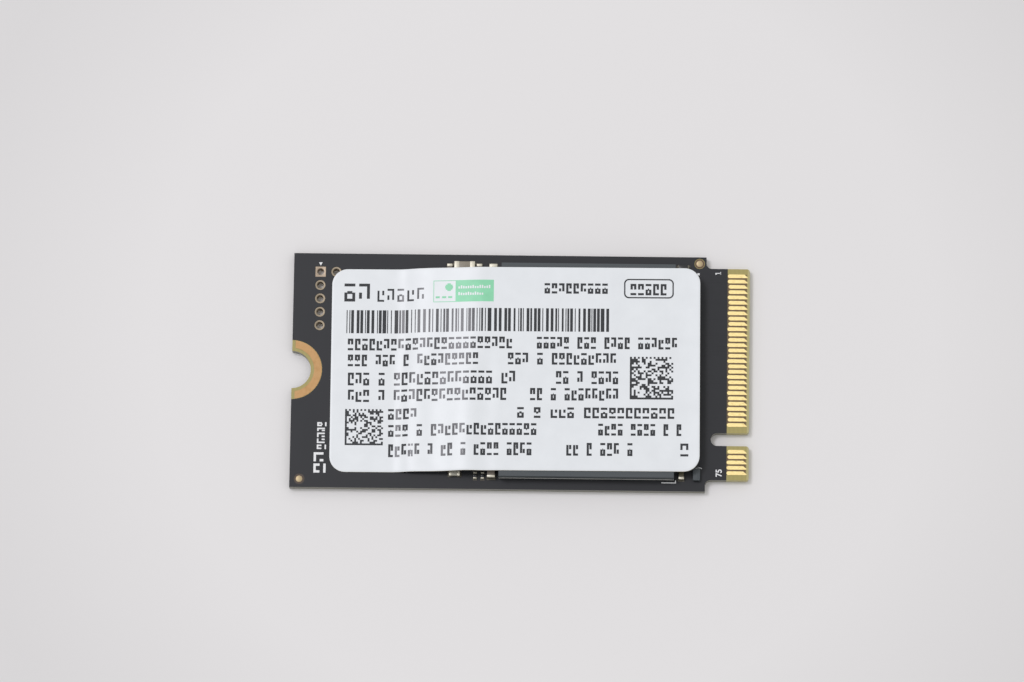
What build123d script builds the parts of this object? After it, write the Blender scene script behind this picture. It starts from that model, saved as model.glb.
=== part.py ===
from build123d import *
from math import atan2, cos, sin
import os

# A gumstick solid state drive: a bare printed card with a keyed edge connector at +X, a
# half-round screw notch at -X, one large storage package and a label film over it.
# +X runs along the card to the contact fingers, +Y across it to contact 1, +Z up from the
# underside. The origin is the centre of the underside. Lengths are in millimetres.

# Card outline
card_length = 42.0
card_width = 22.0
card_thickness = 0.8
tongue_length = 4.0
shoulder_width = 1.075
shoulder_fillet = 0.5
tip_corner_radius = 0.25
tip_bevel_run = 0.2
tip_bevel_drop = 0.12
key_slot_width = 1.2
key_slot_depth = 3.5
notch_radius = 1.75

# Layers on both faces of the laminate. The mask runs to the cut edges on top, and stops
# short of them underneath, so that the card rests on its laminate.
layer_thickness = 0.03
lower_mask_margin = 0.06
mask_clearance = 0.04
finger_window_length = 2.05

# Contact fingers, odd numbers on the top face and even numbers underneath
contact_count = 75
key_contacts = range(59, 67)
ground_contacts = [1, *range(3, 58, 6), 71, 73, 75]
supply_contacts = [2, 4, 12, 14, 16, 18, 70, 72, 74]
finger_side_gap = 0.675
finger_width_share = 0.7
finger_root_gap = 0.1
finger_root_bevel = 0.12
finger_tip_gap = 0.2
finger_cut_run = 0.32
tie_stub_width = 0.08
plane_finger_reach = 0.08

# Bare land round the screw notch
screw_land_inner_radius = 2.05
screw_land_outer_radius = 2.75
screw_land_end_gap = 0.3

# Plated header holes
header_end_gap = 2.46
header_side_gap = 1.74
header_pitch = 1.265
header_row_step = 1.45
header_column_count = 5
header_pad_radius = 0.465
header_square_pad = 0.95
header_hole_radius = 0.305
header_barrel_wall = 0.035

# Alignment dots
dot_radius = 0.3
dot_opening_radius = 0.5
lower_dot_end_gap = 0.89
lower_dot_side_gap = 0.77
upper_dot_shoulder_gap = 0.63
upper_dot_side_gap = 0.61

# Test pads on the underside
test_pad_radius = 0.4

# Storage package
package_length = 16.0
package_side_gap = 1.0
package_setback = 2.85
ball_height = 0.18
ball_radius = 0.2
ball_pitch = 1.0
ball_edge_gap = 1.0
substrate_thickness = 0.22
mould_height = 0.9
pin_mark_radius = 0.5
pin_mark_depth = 0.05
pin_mark_inset = 1.4

# Label film
label_overhang = 2.3
label_width = 19.06
label_thickness = 0.1
label_corner_radius = 1.45
label_end_gap = 3.59
label_side_shift = 0.03
label_turn_angle = 0.23
label_end_lift = 0.1
label_foot_radius = 6.0
label_ramp_length = 10.0
label_crest_gap = 0.1
bay_length = 9.3

# Chip parts: length between the ends, width, height and length of each metal end
large_chip_length = 1.92
large_chip_width = 1.25
large_chip_height = 0.8
large_chip_end = 0.42
medium_chip_length = 1.6
medium_chip_width = 0.75
medium_chip_height = 0.75
medium_chip_end = 0.3
small_chip_length = 1.0
small_chip_width = 0.5
small_chip_height = 0.45
small_chip_end = 0.22
tiny_chip_length = 0.6
tiny_chip_width = 0.3
tiny_chip_height = 0.26
tiny_chip_end = 0.14
chip_end_skin = 0.02
solder_run = 0.08
solder_rise_share = 0.6
land_border = 0.02

# Flat-bottomed parts
power_chip_length = 2.6
power_chip_width = 3.6
power_chip_height = 0.34
load_switch_side = 1.5
load_switch_height = 0.36
serial_memory_length = 2.0
serial_memory_width = 3.0
serial_memory_height = 0.55
inductor_length = 2.0
inductor_width = 1.6
inductor_height = 0.8
inductor_corner_cut = 0.15
inductor_end = 0.5
inductor_end_skin = 0.03
crystal_length = 2.0
crystal_width = 1.6
crystal_base_height = 0.22
crystal_lid_height = 0.2
crystal_lid_inset = 0.12
crystal_corner_cut = 0.15
diode_length = 0.66
diode_width = 1.1
diode_height = 0.5
diode_edge_bevel = 0.06
body_edge_bevel = 0.04
coupling_count = 8
coupling_pitch = 1.4

# Sides of the small rounds that repeat, which are drawn as regular polygons
pad_side_count = 12
ball_side_count = 6

# How far a cut runs past the faces it opens, and how near a corner must be to be picked
overrun = 0.5
corner_pick = 0.001

quarter_turn_angle = 90
chip_families = {
    "large": (large_chip_length, large_chip_width, large_chip_height, large_chip_end),
    "medium": (medium_chip_length, medium_chip_width, medium_chip_height, medium_chip_end),
    "small": (small_chip_length, small_chip_width, small_chip_height, small_chip_end),
    "tiny": (tiny_chip_length, tiny_chip_width, tiny_chip_height, tiny_chip_end),
}

# Chips between the package and the place where the label leaves the board: family, turned
# across the card or not, then how far back from the package as a share of that bay, and how
# far across as a share of the package's half width.
bay_chip_shares = {
    "upper_bulk_capacitor": ("large", False, 0.367, 0.960),
    "upper_filter_capacitor_1": ("small", True, 0.514, 0.956),
    "upper_filter_capacitor_2": ("small", True, 0.221, 0.957),
    "upper_filter_capacitor_3": ("medium", True, 0.082, 0.922),
    "lower_filter_capacitor": ("small", False, 0.435, -0.961),
    "lower_resistor_1": ("tiny", True, 0.233, -0.977),
    "lower_resistor_2": ("tiny", True, 0.159, -0.977),
    "lower_bulk_capacitor": ("medium", True, 0.075, -0.922),
    "decoupling_capacitor_1": ("small", True, 0.124, 0.682),
    "decoupling_capacitor_2": ("small", True, 0.124, 0.517),
    "decoupling_capacitor_3": ("small", True, 0.124, 0.352),
    "decoupling_capacitor_4": ("small", True, 0.124, 0.187),
    "decoupling_capacitor_5": ("small", True, 0.600, 0.501),
    "decoupling_capacitor_6": ("small", True, 0.600, 0.671),
    "bulk_capacitor_1": ("medium", True, 0.145, -0.050),
    "bulk_capacitor_2": ("medium", True, 0.145, -0.616),
    "feedback_resistor_1": ("tiny", False, 0.700, 0.440),
    "feedback_resistor_2": ("tiny", False, 0.700, 0.528),
}

# Chips between the package and the shoulders, as shares of that gap and of the package's
# half width.
end_chip_shares = {
    "end_capacitor": ("small", True, 0.240, -0.946),
    "strap_resistor": ("small", False, 0.256, 0.991),
}
diode_share = (0.728, -0.950)
coupling_share = (0.510, 0.682)

# Flat-bottomed parts of the same bay as the chips.
power_chip_share = (0.620, 0.150)
load_switch_share = (0.661, -0.320)
serial_memory_share = (0.339, -0.620)
crystal_share = (0.260, -0.300)
inductor_shares = [(0.349, 0.630), (0.349, 0.340), (0.349, 0.050)]

# Test pads under the card, as shares of the half length and half width.
test_pad_shares = [
    (-0.72, 0.45), (-0.72, 0.27), (-0.72, -0.27), (-0.72, -0.45),
    (-0.30, 0.72), (-0.12, 0.72), (0.30, -0.72), (0.48, -0.72),
]

# Places worked out from the sizes
left_x = -card_length / 2
tip_x = card_length / 2
shoulder_x = tip_x - tongue_length
window_x = tip_x - finger_window_length
half_width = card_width / 2
tongue_width = card_width - 2 * shoulder_width
finger_pitch = (tongue_width - 2 * finger_side_gap) / (contact_count // 2)
finger_width = finger_width_share * finger_pitch
top_floor = card_thickness - layer_thickness
package_right = shoulder_x - package_setback
package_left = package_right - package_length
package_width = card_width - 2 * package_side_gap
half_package = package_width / 2
substrate_z = card_thickness + ball_height
mould_z = substrate_z + substrate_thickness
package_top = mould_z + mould_height
label_crest_x = package_left - label_crest_gap
label_foot_x = label_crest_x - label_ramp_length
label_start = left_x + label_end_gap
label_end = package_right + label_overhang
header_x = left_x + header_end_gap
header_y = half_width - header_side_gap
dot_places = [
    (left_x + lower_dot_end_gap, lower_dot_side_gap - half_width),
    (shoulder_x - upper_dot_shoulder_gap, half_width - upper_dot_side_gap),
]


def patch(x0, x1, y0, y1):
    """Flat rectangle between two corners."""
    return Pos((x0 + x1) / 2, (y0 + y1) / 2) * Rectangle(x1 - x0, y1 - y0)


def plate(plan, z0, z1):
    """Solid with the outline of a plan, between two heights."""
    return extrude(Pos(0, 0, z0) * plan, amount=z1 - z0)


def block(length, width, height):
    """Box that stands on z = 0, centred on the origin."""
    return plate(Rectangle(length, width), 0, height)


def pin_y(pin):
    """Contacts step across the card by half a pitch, so the two faces interleave."""
    return ((contact_count + 1) / 2 - pin) * finger_pitch / 2


def corners_at(plan, x, half_span, centre):
    """Corners of a plan at one x, at equal distances on both sides of a centre line."""
    found = []
    for corner in plan.vertices():
        beside = abs(abs(corner.Y - centre) - half_span) < corner_pick
        if beside and abs(corner.X - x) < corner_pick:
            found.append(corner)
    return found


def card_plan(inset):
    """The card seen from above, drawn in from its cut edges by an inset."""
    half_tongue = tongue_width / 2 - inset
    half_slot = key_slot_width / 2 + inset
    key_y = pin_y((key_contacts[0] + key_contacts[-1]) / 2)
    body = patch(left_x + inset, shoulder_x - inset, inset - half_width, half_width - inset)
    tongue = patch(shoulder_x - overrun, tip_x - inset, -half_tongue, half_tongue)
    plan = body + tongue
    plan = fillet(corners_at(plan, shoulder_x - inset, half_tongue, 0), shoulder_fillet + inset)
    slot_start = tip_x - key_slot_depth - inset
    slot = patch(slot_start + half_slot, tip_x + overrun, key_y - half_slot, key_y + half_slot)
    slot += Pos(slot_start + half_slot, key_y) * Circle(half_slot)
    plan -= slot
    tip_corners = corners_at(plan, tip_x - inset, half_tongue, 0)
    tip_corners += corners_at(plan, tip_x - inset, half_slot, key_y)
    plan = fillet(tip_corners, tip_corner_radius)
    return plan - Pos(left_x, 0) * Circle(notch_radius + inset)


def notch_disc(radius):
    """Disc about the screw's centre, on the card's end."""
    return Pos(left_x, 0) * Circle(radius)


def header_places():
    """Five holes in a column, and a sixth beside the first."""
    column = [(header_x, header_y - step * header_pitch) for step in range(header_column_count)]
    return column + [(header_x + header_row_step, header_y)]


def pad_round(radius):
    """Small repeated round, as a regular polygon."""
    return RegularPolygon(radius, pad_side_count)


def header_pad(index):
    """Round pad, square at the first hole."""
    if index == 0:
        return Rectangle(header_square_pad, header_square_pad)
    return pad_round(header_pad_radius)


def bay_place(share):
    """Place in the bay between the label's foot and the package."""
    return package_left - share[0] * bay_length, share[1] * half_package


def end_place(share):
    """Place between the package and the shoulders."""
    return package_right + share[0] * package_setback, share[1] * half_package


def chip_placements():
    """Every two-ended chip: node name, family sizes and its location on the board."""
    rows = []
    for name, (family, turned, along, across) in bay_chip_shares.items():
        rows.append((name, family, turned, bay_place((along, across))))
    for name, (family, turned, along, across) in end_chip_shares.items():
        rows.append((name, family, turned, end_place((along, across))))
    row_x, row_y = end_place(coupling_share)
    for step in range(coupling_count):
        rows.append(("coupling_capacitors", "tiny", False, (row_x, row_y - step * coupling_pitch)))
    placed = []
    for name, family, turned, (x, y) in rows:
        turn = quarter_turn_angle if turned else 0
        placed.append((name, chip_families[family], Pos(x, y, 0) * Rot(0, 0, turn)))
    return placed


def chip_solid(sizes):
    """Ceramic body with a metal cap wrapped round each end."""
    length, width, height, end = sizes
    lifted = Pos(0, 0, chip_end_skin)
    chip = lifted * block(length - end, width - 2 * chip_end_skin, height - 2 * chip_end_skin)
    for side in (-1, 1):
        chip += Pos(side * (length - end) / 2, 0, 0) * block(end, width, height)
    return chip


def solder_wedges(sizes):
    """Solder that climbs each end of a chip from its land."""
    length, width, height, end = sizes
    rise = solder_rise_share * height
    wedges = []
    for side in (-1, 1):
        foot = side * length / 2
        side_view = make_face(Polyline((foot, 0), (foot + side * solder_run, 0), (foot, rise), close=True))
        wedges.append(extrude(Plane.XZ * side_view, amount=width / 2, both=True))
    return wedges


def chip_lands(sizes, border):
    """The two lands under a chip and its solder, widened by a border."""
    length, width, height, end = sizes
    inner = length / 2 - end - border
    outer = length / 2 + solder_run + border
    half = width / 2 + border
    return patch(inner, outer, -half, half) + patch(-outer, -inner, -half, half)


def all_lands(border):
    """Lands of every chip on the board, as one plan."""
    lands = Sketch()
    for name, sizes, place in chip_placements():
        lands += place * chip_lands(sizes, border)
    return lands


def rounds(radius, places):
    """Equal small rounds at a list of places."""
    return [Pos(x, y) * pad_round(radius) for x, y in places]


def test_pad_places():
    """Round pads scattered over the underside."""
    return [(along * card_length / 2, across * half_width) for along, across in test_pad_shares]


def finger_window():
    """Bare end of the tongue, where the mask stops."""
    return patch(window_x, tip_x + overrun, -half_width, half_width)


def mask_plan(margin, openings):
    """Solder mask of one face, drawn in by a margin, with its openings."""
    plan = card_plan(margin) - finger_window()
    plan -= notch_disc(screw_land_outer_radius + mask_clearance)
    for index, (x, y) in enumerate(header_places()):
        plan -= Pos(x, y) * offset(header_pad(index), amount=mask_clearance, kind=Kind.INTERSECTION)
    return plan - openings


def land_ring():
    """Land round the screw notch, stopped short of the card's end."""
    ring = notch_disc(screw_land_outer_radius) - notch_disc(screw_land_inner_radius)
    reach = screw_land_outer_radius + overrun
    return ring & patch(left_x + screw_land_end_gap, left_x + reach, -reach, reach)


def laminate():
    """Glass-epoxy board, one layer lower wherever mask or metal lies on it."""
    board = plate(card_plan(0), 0, top_floor)
    board -= plate(card_plan(lower_mask_margin) + finger_window(), -overrun, layer_thickness)
    bevel_start = tip_x - tip_bevel_run
    low = layer_thickness
    side_view = Polyline(
        (left_x - overrun, -overrun), (bevel_start, -overrun), (bevel_start, low),
        (tip_x, low + tip_bevel_drop), (tip_x, top_floor - tip_bevel_drop),
        (bevel_start, top_floor), (bevel_start, card_thickness + overrun),
        (left_x - overrun, card_thickness + overrun), close=True,
    )
    board &= extrude(Plane.XZ * make_face(side_view), amount=card_width, both=True)
    barrel = header_hole_radius + header_barrel_wall
    for x, y in header_places():
        board -= plate(Pos(x, y) * pad_round(barrel), -overrun, card_thickness + overrun)
    return board


def finger_plan(pin):
    """One contact finger: bevelled root, and a tip cut on the slant down to a tie stub."""
    reach = plane_finger_reach if pin in ground_contacts + supply_contacts else 0
    half = finger_width / 2
    root = window_x + finger_root_gap - reach
    tip = tip_x - finger_tip_gap
    shoulder = half - finger_root_bevel
    outline = Polyline(
        (root, shoulder), (root + finger_root_bevel, half), (tip - finger_cut_run, half),
        (tip, tie_stub_width - half), (tip, -half), (root + finger_root_bevel, -half),
        (root, -shoulder), close=True,
    )
    return Pos(0, pin_y(pin)) * make_face(outline)


def contact_fingers(first_pin, z0):
    """Fingers of one face, left out over the key slot."""
    fingers = []
    for pin in range(first_pin, contact_count + 1, 2):
        if pin not in key_contacts:
            fingers.append(plate(finger_plan(pin), z0, z0 + layer_thickness))
    return Compound(children=fingers)


def header_eyelet(index, x, y):
    """Plated hole with a pad on each face."""
    pad = header_pad(index)
    eyelet = plate(pad_round(header_hole_radius + header_barrel_wall), 0, card_thickness)
    eyelet += plate(pad, top_floor, card_thickness)
    eyelet += plate(pad, 0, layer_thickness)
    eyelet -= plate(pad_round(header_hole_radius), -overrun, card_thickness + overrun)
    return Pos(x, y, 0) * eyelet


def package_balls():
    """The outer ring of solder balls, a whole number of pitches inside the package's edge."""
    columns = int((package_length - 2 * ball_edge_gap) / ball_pitch) + 1
    rows = int((package_width - 2 * ball_edge_gap) / ball_pitch) + 1
    centre_x = (package_left + package_right) / 2
    ball = plate(RegularPolygon(ball_radius, ball_side_count), card_thickness, substrate_z)
    balls = []
    for column in range(columns):
        for row in range(rows):
            if 0 < column < columns - 1 and 0 < row < rows - 1:
                continue
            x = centre_x + (column - (columns - 1) / 2) * ball_pitch
            y = (row - (rows - 1) / 2) * ball_pitch
            balls.append(Pos(x, y, 0) * ball)
    return Compound(children=balls)


def package_plan():
    """Footprint shared by the package's moulding and substrate."""
    return patch(package_left, package_right, -half_package, half_package)


def package_mould():
    """Square-sawn moulding with the shallow round mark of contact one."""
    mould = plate(package_plan(), mould_z, package_top)
    mark_x = package_left + pin_mark_inset
    mark_y = half_package - pin_mark_inset
    mark = Pos(mark_x, mark_y) * pad_round(pin_mark_radius)
    return mould - plate(mark, package_top - pin_mark_depth, package_top + overrun)


def flat_chip(length, width, height, bevel):
    """Leadless moulded chip with its top edges broken."""
    chip = block(length, width, height)
    return chamfer(chip.faces().sort_by(Axis.Z)[-1].edges(), bevel)


def cut_corner_plan(length, width, corner):
    """Rectangle with its four corners cut off."""
    plan = Rectangle(length, width)
    return chamfer(plan.vertices(), corner)


def inductor():
    """Pressed ferrite block with a wrapped contact at each end."""
    footprint = cut_corner_plan(inductor_length, inductor_width, inductor_corner_cut)
    core = plate(footprint, inductor_end_skin, inductor_height)
    for side in (-1, 1):
        place = Pos(side * (inductor_length - inductor_end) / 2, 0, 0)
        width = inductor_width - 2 * inductor_corner_cut
        core += place * block(inductor_end, width, inductor_height / 2)
    return core


def crystal():
    """Ceramic base with a seam-welded metal lid."""
    base = cut_corner_plan(crystal_length, crystal_width, crystal_corner_cut)
    lid = offset(base, amount=-crystal_lid_inset, kind=Kind.INTERSECTION)
    top = crystal_base_height + crystal_lid_height
    return plate(base, 0, crystal_base_height) + plate(lid, crystal_base_height, top)


def label_face(lift):
    """Side view of one face of the film, a lift above its underside.

    The film climbs to the package in two arcs that meet on one slope, a tight one at its foot
    and a wide one at its crest. The slope follows from the ramp's length and the package's
    height.
    """
    low = card_thickness + lift
    high = package_top + lift
    slope = 2 * atan2(high - low, label_ramp_length)
    meeting = (
        label_foot_x + label_foot_radius * sin(slope),
        low + label_foot_radius * (1 - cos(slope)),
    )
    lying = Line((label_start, low), (label_foot_x, low))
    foot = TangentArc((label_foot_x, low), meeting, tangent=(1, 0))
    crest = TangentArc(meeting, (label_crest_x, high), tangent=(cos(slope), sin(slope)))
    resting = Line((label_crest_x, high), (package_right, high))
    free_end = TangentArc((package_right, high), (label_end, high + label_end_lift), tangent=(1, 0))
    return lying + foot + crest + resting + free_end


def label_film():
    """Film that lies on the board, climbs over the small parts and rests on the package.

    It was stuck on by hand, a fraction of a degree off square.
    """
    lower = label_face(0)
    upper = label_face(label_thickness)
    ends = Line((label_start, card_thickness), (label_start, card_thickness + label_thickness))
    end_z = package_top + label_end_lift
    ends += Line((label_end, end_z), (label_end, end_z + label_thickness))
    side_view = make_face(lower + upper + ends)
    film = extrude(Plane.XZ * side_view, amount=card_width, both=True)
    plan = RectangleRounded(label_end - label_start, label_width, label_corner_radius)
    centre = Pos((label_start + label_end) / 2, label_side_shift, 0)
    film &= plate(centre * plan, 0, end_z + overrun)
    return centre * Rot(0, 0, label_turn_angle) * centre.inverse() * film


def build_card():
    """Board, mask, lands, fingers and eyelets."""
    lands = all_lands(land_border)
    dot_openings = rounds(dot_opening_radius, dot_places)
    pads = rounds(test_pad_radius, test_pad_places())
    pad_openings = rounds(test_pad_radius + mask_clearance, test_pad_places())
    top_mask = mask_plan(0, [all_lands(land_border + mask_clearance), *dot_openings])
    bottom_mask = mask_plan(lower_mask_margin, pad_openings)
    nodes = {
        "board_laminate": laminate(),
        "solder_mask_top": plate(top_mask, top_floor, card_thickness),
        "solder_mask_bottom": plate(bottom_mask, 0, layer_thickness),
        "contact_fingers_top": contact_fingers(1, top_floor),
        "contact_fingers_bottom": contact_fingers(2, 0),
        "screw_land_top": plate(land_ring(), top_floor, card_thickness),
        "screw_land_bottom": plate(land_ring(), 0, layer_thickness),
        "component_lands": plate(lands, top_floor, card_thickness),
        "test_pads": plate(Sketch() + pads, 0, layer_thickness),
    }
    for index, (x, y) in enumerate(header_places()):
        nodes[f"header_eyelet_{index + 1}"] = header_eyelet(index, x, y)
    for index, dot in enumerate(rounds(dot_radius, dot_places)):
        nodes[f"alignment_dot_{index + 1}"] = plate(dot, top_floor, card_thickness)
    return nodes


def build_chips():
    """Two-ended chips and their solder."""
    nodes = {}
    solder = []
    for name, sizes, place in chip_placements():
        seated = Pos(0, 0, card_thickness) * place
        nodes.setdefault(name, []).append(seated * chip_solid(sizes))
        solder += [seated * wedge for wedge in solder_wedges(sizes)]
    nodes["chip_solder"] = solder
    return {name: Compound(children=solids) for name, solids in nodes.items()}


def build_flat_parts():
    """Flat-bottomed parts, seated on the solder mask."""
    serial_memory = flat_chip(
        serial_memory_length, serial_memory_width, serial_memory_height, body_edge_bevel
    )
    power_chip = flat_chip(power_chip_length, power_chip_width, power_chip_height, body_edge_bevel)
    load_switch = flat_chip(load_switch_side, load_switch_side, load_switch_height, body_edge_bevel)
    diode = flat_chip(diode_length, diode_width, diode_height, diode_edge_bevel)
    placed = {
        "power_chip": (power_chip, bay_place(power_chip_share)),
        "load_switch_chip": (load_switch, bay_place(load_switch_share)),
        "serial_memory_chip": (serial_memory, bay_place(serial_memory_share)),
        "crystal": (crystal(), bay_place(crystal_share)),
        "clamp_diode": (diode, end_place(diode_share)),
    }
    for index, share in enumerate(inductor_shares):
        placed[f"power_inductor_{index + 1}"] = (inductor(), bay_place(share))
    return {name: Pos(x, y, card_thickness) * solid for name, (solid, (x, y)) in placed.items()}


def build_package():
    """Storage package and the label over it."""
    return {
        "package_balls": package_balls(),
        "package_substrate": plate(package_plan(), substrate_z, mould_z),
        "package_mould": package_mould(),
        "label_film": label_film(),
    }


os.makedirs("parts", exist_ok=True)
drive = build_card() | build_chips() | build_flat_parts() | build_package()
for node, shape in drive.items():
    export_step(shape, f"parts/{node}.step")
print(len(drive), "nodes written")
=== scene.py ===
# %% [markdown]
# # A gumstick solid state drive
# The real thing is a bare printed circuit card, 22 by 42 mm, with a gold edge connector at
# one end and a screw notch at the other. A storage package, small chip parts and a white
# label sit on its upper face. The solid model of all that is loaded first, as a frame that
# nothing moves. This lesson gives each visible surface its finish, and makes finer pieces
# for what the frame holds only plainly.

# %% Load the frame
import math
import random

import bmesh
import bpy
from mathutils import Matrix, Vector


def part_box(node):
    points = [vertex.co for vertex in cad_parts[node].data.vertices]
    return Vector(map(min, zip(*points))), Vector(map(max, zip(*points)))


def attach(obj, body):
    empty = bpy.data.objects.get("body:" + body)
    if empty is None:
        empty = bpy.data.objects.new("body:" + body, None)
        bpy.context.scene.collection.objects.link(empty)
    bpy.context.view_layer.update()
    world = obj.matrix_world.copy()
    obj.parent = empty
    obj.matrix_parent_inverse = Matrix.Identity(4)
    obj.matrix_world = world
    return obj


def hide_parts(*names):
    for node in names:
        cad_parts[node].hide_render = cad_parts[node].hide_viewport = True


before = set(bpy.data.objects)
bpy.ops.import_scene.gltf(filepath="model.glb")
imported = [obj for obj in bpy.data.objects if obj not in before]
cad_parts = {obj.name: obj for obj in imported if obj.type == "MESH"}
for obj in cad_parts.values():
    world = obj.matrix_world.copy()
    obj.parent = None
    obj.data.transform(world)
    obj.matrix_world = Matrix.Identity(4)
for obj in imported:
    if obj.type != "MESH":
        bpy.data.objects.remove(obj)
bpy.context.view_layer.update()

MM = 0.001

# %% [markdown]
# ## Sizes taken from the frame
# Everything is placed from the frame's own boxes, so a piece always sits where its node is.
# Only what no node tells, such as the pitch of the contacts, is written as a real size.

# %% Key places
LAMINATE_LOW, LAMINATE_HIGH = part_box("board_laminate")
MOULD_LOW, MOULD_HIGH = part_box("package_mould")
FILM_LOW, FILM_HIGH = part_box("label_film")
MASK_LOW, MASK_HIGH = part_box("solder_mask_top")
BOARD_TOP = MASK_HIGH.z
CARD_LEFT, CARD_TIP = LAMINATE_LOW.x, LAMINATE_HIGH.x
LAYER = MASK_HIGH.z - MASK_LOW.z
print("board top and package top in mm:", round(BOARD_TOP / MM, 3), round(MOULD_HIGH.z / MM, 3))

# %% [markdown]
# ## Small helpers
# A colour picked from a picture is in sRGB, but the shader works in linear light, so one
# function turns hex colours to linear. Another adds a node with its settings and links, so
# that each material reads as a recipe. A noise seldom leaves the middle of its range, so
# two tones are blended over that part only.

# %% Colours and nodes
def linear(hex_colour):
    """Linear red, green, blue and alpha of an sRGB hex colour."""
    channels = []
    for start in (1, 3, 5):
        value = int(hex_colour[start:start + 2], 16) / 255
        channels.append(value / 12.92 if value <= 0.04045 else ((value + 0.055) / 1.055) ** 2.4)
    return (*channels, 1.0)


def fill(node, inputs):
    """Set inputs by name or number to a value or a hex colour, or link a node or a socket."""
    for name, value in inputs.items():
        if isinstance(value, bpy.types.Node):
            value = next(output for output in value.outputs if output.enabled)
        if isinstance(value, bpy.types.NodeSocket):
            node.id_data.links.new(value, node.inputs[name])
        else:
            node.inputs[name].default_value = linear(value) if isinstance(value, str) else value


def add(tree, kind, inputs=None, **options):
    """Add a shader node to a tree, with its values, its links and its options."""
    made = tree.nodes.new("ShaderNode" + kind)
    for name, value in options.items():
        setattr(made, name, value)
    fill(made, inputs or {})
    return made


def start_material(name, **sockets):
    """A new material with a Principled shader whose plain sockets are filled."""
    material = bpy.data.materials.new(name)
    material.use_nodes = True
    tree = material.node_tree
    tree.nodes.clear()
    shader = add(tree, "BsdfPrincipled", sockets)
    add(tree, "OutputMaterial", {"Surface": shader})
    place = add(tree, "TexCoord").outputs["Object"]
    return material, tree, shader, place


MIDDLE = (0.3, 0.7)


def two_tones(tree, pattern, tones, span=MIDDLE):
    """Blend two colours by a pattern, over a part of its range."""
    share = add(tree, "MapRange", {0: pattern, 1: span[0], 2: span[1]})
    return add(tree, "Mix", {0: share, 6: tones[0], 7: tones[1]}, data_type="RGBA")

# %% [markdown]
# ## Glass-epoxy laminate
# The board is woven glass in amber resin. It shows where the mask stops: at the sides of
# the connector, between the gold fingers and round the screw notch, as an olive yellow with
# a faint weave. It is browner between the fingers, and dark in the small openings round the
# alignment dots. The routed walls show the cut glass layers, and the slant that was ground
# on the tip is paler. All of that follows place, so the material reads Object coordinates.

# %% Laminate material
GLASS_CLOTH_PITCH = 0.4 * MM     # thread spacing, drawn a little coarse so that it shows
UNIT_WAVE = 0.314                # length of one wave of the wave texture at a scale of one
GLASS_LAYER_PITCH, LAYER_SQUEEZE = 0.8 * MM, (1, 1, 9)
EDGE_FADE = 0.03 * MM
FINGERS_LOW, FINGERS_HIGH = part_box("contact_fingers_top")
KEY_SLOT_Y, KEY_SLOT_BARE = -6.125 * MM, 1.3 * MM
NOTCH_BARE, TIP_STRIP = 2.9 * MM, 0.06 * MM
DOT_HALO, DOT_OPENING = 0.41 * MM, 0.56 * MM
DOT_RINGS = (("alignment_dot_1", "#3b2817", "#3b2f20"), ("alignment_dot_2", "#5a3e24", "#8c8048"))
UPRIGHT, SLANTED = 0.3, 0.97     # how far a normal points up, at most, on a wall and on the slant


def inside_box(tree, place, low, high):
    """One inside a rectangle seen from above, nought outside it, over a short fade."""
    low, high = Vector((*low, 0)), Vector((*high, 0))
    offset = add(tree, "VectorMath", {0: place, 1: (low + high) / 2}, operation="SUBTRACT")
    away = add(tree, "VectorMath", {0: offset}, operation="ABSOLUTE")
    spare = add(tree, "VectorMath", {0: (high - low) / 2, 1: away}, operation="SUBTRACT")
    split = add(tree, "SeparateXYZ", {0: spare})
    least = add(tree, "Math", {0: split.outputs["X"], 1: split.outputs["Y"]}, operation="MINIMUM")
    return add(tree, "MapRange", {0: least, 1: 0.0, 2: EDGE_FADE})


def beyond_radius(tree, place, centre, radius):
    """Nought inside an upright round column, one outside it, over a short fade."""
    flat = add(tree, "VectorMath", {0: place, 1: (1, 1, 0)}, operation="MULTIPLY")
    away = add(tree, "VectorMath", {0: flat, 1: (centre[0], centre[1], 0)}, operation="DISTANCE")
    return add(tree, "MapRange", {0: away, 1: radius, 2: radius + EDGE_FADE})


# Olive card with dark rims, that tells the eye it is cut from sheet.
LAMINATE, tree, shader, place = start_material("glass_epoxy_laminate", Roughness=0.42, IOR=1.55)
weave = add(tree, "TexWave", {"Vector": place, "Scale": UNIT_WAVE / GLASS_CLOTH_PITCH,
                              "Distortion": 0.6}, bands_direction="X")
olive = add(tree, "Mix", {0: weave, 6: "#998e50", 7: "#9d9254"}, data_type="RGBA")

tip = inside_box(tree, place, (MASK_HIGH.x, LAMINATE_LOW.y - MM), (CARD_TIP + MM, LAMINATE_HIGH.y + MM))
colour = add(tree, "Mix", {0: tip, 6: "#33271b", 7: olive}, data_type="RGBA")
past_notch = beyond_radius(tree, place, (CARD_LEFT, 0), NOTCH_BARE)
colour = add(tree, "Mix", {0: past_notch, 6: olive, 7: colour}, data_type="RGBA")
ends = (FINGERS_LOW.y, KEY_SLOT_Y - KEY_SLOT_BARE, KEY_SLOT_Y + KEY_SLOT_BARE, FINGERS_HIGH.y)
for low_y, high_y in (ends[:2], ends[2:]):
    row = inside_box(tree, place, (MASK_HIGH.x - MM, low_y), (FINGERS_HIGH.x - TIP_STRIP, high_y))
    in_tip = add(tree, "Math", {0: row, 1: tip}, operation="MULTIPLY")
    colour = add(tree, "Mix", {0: in_tip, 6: colour, 7: "#614b2b"}, data_type="RGBA")

for name, inner, outer in DOT_RINGS:
    centre = sum(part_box(name), Vector()) / 2
    past_halo = beyond_radius(tree, place, centre, DOT_HALO)
    ring = add(tree, "Mix", {0: past_halo, 6: inner, 7: outer}, data_type="RGBA")
    past_opening = beyond_radius(tree, place, centre, DOT_OPENING)
    colour = add(tree, "Mix", {0: past_opening, 6: ring, 7: colour}, data_type="RGBA")

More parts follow.
